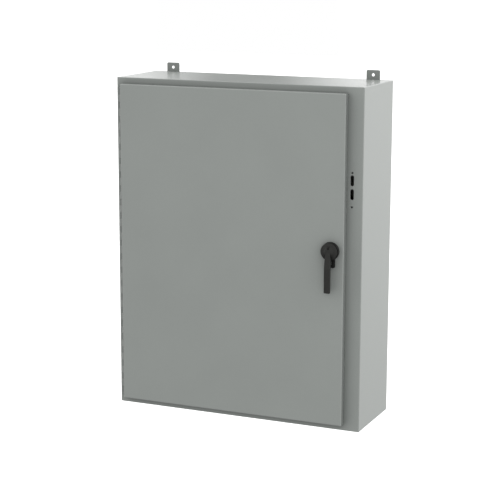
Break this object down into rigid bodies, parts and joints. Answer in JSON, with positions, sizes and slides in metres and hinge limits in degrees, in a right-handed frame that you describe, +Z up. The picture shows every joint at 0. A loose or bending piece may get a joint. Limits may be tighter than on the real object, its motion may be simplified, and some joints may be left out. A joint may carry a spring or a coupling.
{
  "type": "automatic transfer switch cabinet",
  "caption": "Wall cabinet with a hinged latching door, holding a power transfer switch, its operator and its controller.",
  "frame": {"origin": "centre of the four wall bolts, on the wall plane", "axes": "+X to the right seen from the front, -Y out of the wall through the door, +Z up"},
  "size_m": [0.9492, 0.3718, 1.2858],
  "materials": {
    "box_paint": "satin grey powder coat",
    "panel_paint": "semi-gloss white enamel",
    "black_finish": "satin black coated die casting",
    "zinc_plate": "bright zinc plate",
    "copper_bar": "bare copper",
    "aluminium_lug": "plain",
    "switch_moulding": "glass-filled moulding",
    "brown_moulding": "phenolic",
    "black_rubber": "closed-cell foam and rubber",
    "coil_wrap": "varnished winding",
    "sensor_plastic": "moulded",
    "flag_yellow": "moulded",
    "case_plastic": "moulded",
    "cover_plastic": "moulded",
    "circuit_board": "coated board",
    "clear_window": "tinted acrylic",
    "green_button": "moulded",
    "red_button": "moulded",
    "core_steel": "varnished laminations",
    "fuse_paper": "fibre tube",
    "terminal_plastic": "polyamide",
    "relay_plastic": "smoked case",
    "duct_plastic": "rigid vinyl",
    "wire_jacket": "vinyl insulation",
    "clear_shield": "clear polycarbonate",
    "pocket_plastic": "moulded",
    "roller_nylon": "nylon"
  },
  "bodies": {
    "enclosure": {"enclosure_body": "box_paint", "mounting_feet": "box_paint", "back_panel": "panel_paint", "panel_nuts": "zinc_plate", "hinge_body_leaf": "box_paint", "hinge_pin": "zinc_plate", "switch_base": "switch_moulding", "normal_terminals": "copper_bar", "emergency_terminals": "copper_bar", "load_terminals": "copper_bar", "cable_lugs": "aluminium_lug", "lug_screws": "zinc_plate", "arc_chutes": "brown_moulding", "arc_splitters": "zinc_plate", "shaft_side_plates": "zinc_plate", "solenoid_frame": "zinc_plate", "solenoid_coil": "coil_wrap", "position_sensors": "sensor_plastic", "controller_case": "case_plastic", "controller_cover": "cover_plastic", "controller_board": "circuit_board", "controller_windows": "clear_window", "transformer_core": "core_steel", "transformer_coil": "coil_wrap", "fuse_block": "switch_moulding", "fuses": "fuse_paper", "din_rail": "zinc_plate", "terminal_blocks": "terminal_plastic", "control_relays": "relay_plastic", "wire_duct": "duct_plastic", "wiring_harness": "wire_jacket", "ground_bar": "copper_bar", "neutral_bar": "aluminium_lug", "dead_front_shield": "clear_shield", "shield_standoffs": "zinc_plate"},
    "door": {"door_panel": "box_paint", "door_gasket": "black_rubber", "hinge_door_leaf": "box_paint", "rod_guides": "zinc_plate", "document_pocket": "pocket_plastic", "handle_base": "black_finish", "handle_seal": "black_rubber", "handle_nut": "zinc_plate"},
    "handle": {"handle_lever": "black_finish", "handle_shaft": "zinc_plate", "latch_cam": "zinc_plate"},
    "transfer_shaft": {"contact_shaft": "zinc_plate", "contact_carriers": "brown_moulding", "moving_contacts": "copper_bar", "shaft_crank": "zinc_plate", "manual_handle": "black_finish", "position_flag": "flag_yellow"},
    "key_plug": {"key_plug": "black_finish"},
    "upper_rod": {"upper_latch_rod": "zinc_plate"},
    "lower_rod": {"lower_latch_rod": "zinc_plate"},
    "upper_roller": {"upper_roller": "roller_nylon"},
    "lower_roller": {"lower_roller": "roller_nylon"},
    "plunger": {"solenoid_plunger": "zinc_plate"},
    "test_button": {"test_button": "green_button"},
    "reset_button": {"reset_button": "red_button"}
  },
  "joints": [
    {"name": "door_swing", "type": "hinge", "parent": "enclosure", "child": "door", "pos_m": [-0.46065, -0.31305, 0], "axis": [0, 0, -1], "range_deg": [0, 130]},
    {"name": "handle_turn", "type": "hinge", "parent": "door", "child": "handle", "pos_m": [0.36955, -0.3328, 0.0416], "axis": [0, 1, 0], "range_deg": [0, 90]},
    {"name": "key_turn", "type": "hinge", "parent": "handle", "child": "key_plug", "pos_m": [0.36955, -0.3328, 0.0556], "axis": [0, 1, 0], "range_deg": [0, 90]},
    {"name": "upper_rod_slide", "type": "slide", "parent": "door", "child": "upper_rod", "axis": [0, 0, -1], "range_m": [0, 0.0199]},
    {"name": "lower_rod_slide", "type": "slide", "parent": "door", "child": "lower_rod", "axis": [0, 0, 1], "range_m": [0, 0.0199]},
    {"name": "upper_roller_spin", "type": "hinge", "parent": "upper_rod", "child": "upper_roller", "pos_m": [0.37955, -0.2953, 0.5626], "axis": [1, 0, 0], "continuous": true},
    {"name": "lower_roller_spin", "type": "hinge", "parent": "lower_rod", "child": "lower_roller", "pos_m": [0.35955, -0.2953, -0.5626], "axis": [1, 0, 0], "continuous": true},
    {"name": "source_transfer", "type": "hinge", "parent": "enclosure", "child": "transfer_shaft", "pos_m": [-0.07, -0.1195, 0.15], "axis": [-1, 0, 0], "range_deg": [0, 80]},
    {"name": "plunger_slide", "type": "slide", "parent": "enclosure", "child": "plunger", "axis": [0, 0, -1], "range_m": [0, 0.0413]},
    {"name": "test_press", "type": "slide", "parent": "enclosure", "child": "test_button", "axis": [0, 1, 0], "range_m": [0, 0.003], "stiffness_N_per_m": 500},
    {"name": "reset_press", "type": "slide", "parent": "enclosure", "child": "reset_button", "axis": [0, 1, 0], "range_m": [0, 0.003], "stiffness_N_per_m": 500}
  ],
  "couplings": [
    {"joint": "upper_rod_slide", "follows": "handle_turn", "m_per_rad": 0.012604},
    {"joint": "lower_rod_slide", "follows": "handle_turn", "m_per_rad": 0.012604},
    {"joint": "plunger_slide", "follows": "source_transfer", "m_per_rad": 0.029463}
  ]
}
